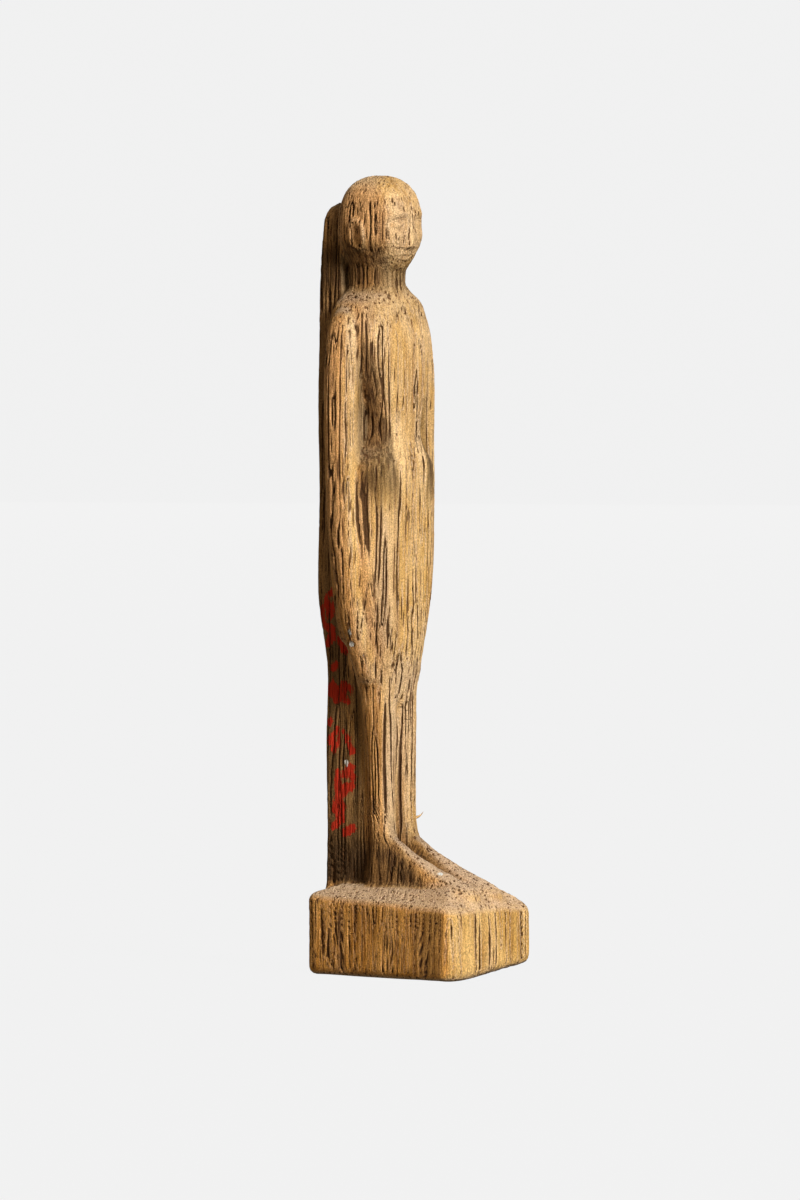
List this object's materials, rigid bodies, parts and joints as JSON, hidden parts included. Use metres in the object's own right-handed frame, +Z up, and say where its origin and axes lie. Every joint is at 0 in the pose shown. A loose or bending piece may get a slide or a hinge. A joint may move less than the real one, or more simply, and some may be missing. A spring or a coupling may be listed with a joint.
{
  "type": "standing figure amulet",
  "caption": "Small standing figure with its arms at its sides, carved from a stick of wood together with a back pillar and a block base.",
  "frame": {"origin": "on the underside, at the middle of the whole width and length", "axes": "+Z up; the figure faces -Y and its right hand is at -X"},
  "size_m": [0.0122, 0.0176, 0.0653],
  "materials": {
    "wood": "dry and worn, with an open grain"
  },
  "bodies": {
    "root": {"standing_figure": "wood"}
  },
  "joints": []
}
